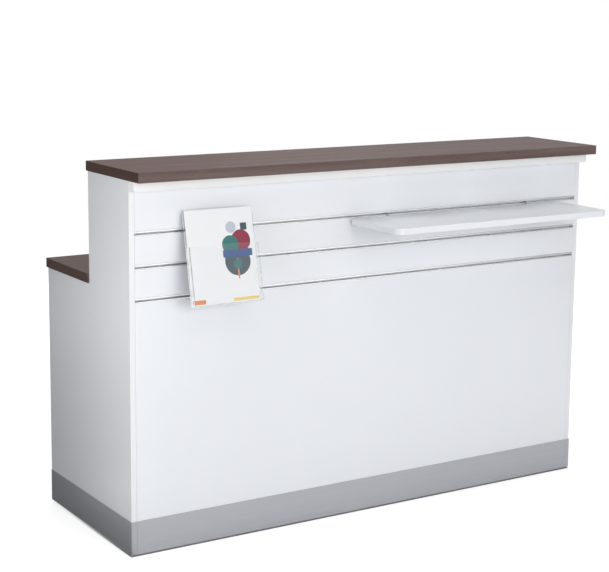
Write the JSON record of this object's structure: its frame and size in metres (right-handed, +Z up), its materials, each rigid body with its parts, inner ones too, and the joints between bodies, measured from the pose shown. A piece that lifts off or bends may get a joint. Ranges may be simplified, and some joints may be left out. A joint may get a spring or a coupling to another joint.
{
  "type": "reception desk",
  "caption": "White panel reception desk with a raised dark wood counter, low worktop behind, slotted display front with a sliding shelf and a leaflet holder, and a silver kick band.",
  "frame": {"origin": "centre of the footprint of the whole desk's box, on the floor", "axes": "+Z up, the visitor's side faces -Y, +X to the right as the visitor sees it"},
  "size_m": [1.6, 0.7926, 1.075],
  "materials": {
    "white_board": "white melamine board, satin",
    "walnut_board": "dark walnut-look melamine board, satin",
    "slot_aluminium": "anodised, bright",
    "silver_band": "thin brushed silver sheet",
    "black_plastic": "moulded nylon",
    "bracket_steel": "zinc plated",
    "frosted_lens": "frosted diffuser",
    "white_plastic": "moulded",
    "clear_acrylic": "clear polished acrylic sheet",
    "leaflet_print": "coated print"
  },
  "bodies": {
    "carcass": {"left_side_panel": "white_board", "right_side_panel": "white_board", "lower_front_panel": "white_board", "slat_board_bottom": "white_board", "slat_board_middle": "white_board", "slat_board_top": "white_board", "slat_back_panel": "white_board", "counter_pelmet": "white_board", "worktop_rail": "white_board", "left_worktop_cleat": "white_board", "right_worktop_cleat": "white_board", "counter_top": "walnut_board", "worktop": "walnut_board", "top_slot_lower_rail": "slot_aluminium", "top_slot_upper_rail": "slot_aluminium", "middle_slot_lower_rail": "slot_aluminium", "middle_slot_upper_rail": "slot_aluminium", "bottom_slot_lower_rail": "slot_aluminium", "bottom_slot_upper_rail": "slot_aluminium", "front_kick_plate": "silver_band", "left_kick_plate": "silver_band", "right_kick_plate": "silver_band", "left_kick_edge": "silver_band", "right_kick_edge": "silver_band", "foot_block_1": "black_plastic", "foot_block_2": "black_plastic", "foot_block_3": "black_plastic", "foot_block_4": "black_plastic", "corner_bracket_1": "bracket_steel", "corner_bracket_2": "bracket_steel", "corner_bracket_3": "bracket_steel", "corner_bracket_4": "bracket_steel", "led_spot_1": "slot_aluminium", "led_spot_2": "slot_aluminium", "led_spot_3": "slot_aluminium", "led_lens_1": "frosted_lens", "led_lens_2": "frosted_lens", "led_lens_3": "frosted_lens", "led_lead": "white_plastic", "led_driver": "white_plastic"},
    "display_shelf": {"shelf_board": "white_board", "shelf_bracket_left": "bracket_steel", "shelf_bracket_right": "bracket_steel"},
    "leaflet_holder": {"holder_back": "clear_acrylic", "holder_front": "clear_acrylic", "holder_base": "clear_acrylic", "holder_left_side": "clear_acrylic", "holder_right_side": "clear_acrylic", "holder_hook": "clear_acrylic", "holder_standoff": "clear_acrylic", "leaflet": "leaflet_print"},
    "levelling_foot_1": {"foot_1": "black_plastic"},
    "levelling_foot_2": {"foot_2": "black_plastic"},
    "levelling_foot_3": {"foot_3": "black_plastic"},
    "levelling_foot_4": {"foot_4": "black_plastic"}
  },
  "joints": [
    {"name": "shelf_slide", "type": "slide", "parent": "carcass", "child": "display_shelf", "axis": [1, 0, 0], "range_m": [-0.19, 0.085]},
    {"name": "holder_slide", "type": "slide", "parent": "carcass", "child": "leaflet_holder", "axis": [1, 0, 0], "range_m": [-0.135, 0.14]},
    {"name": "foot_1_screw", "type": "slide", "parent": "carcass", "child": "levelling_foot_1", "axis": [0, 0, -1], "range_m": [0, 0.01]},
    {"name": "foot_2_screw", "type": "slide", "parent": "carcass", "child": "levelling_foot_2", "axis": [0, 0, -1], "range_m": [0, 0.01]},
    {"name": "foot_3_screw", "type": "slide", "parent": "carcass", "child": "levelling_foot_3", "axis": [0, 0, -1], "range_m": [0, 0.01]},
    {"name": "foot_4_screw", "type": "slide", "parent": "carcass", "child": "levelling_foot_4", "axis": [0, 0, -1], "range_m": [0, 0.01]}
  ]
}
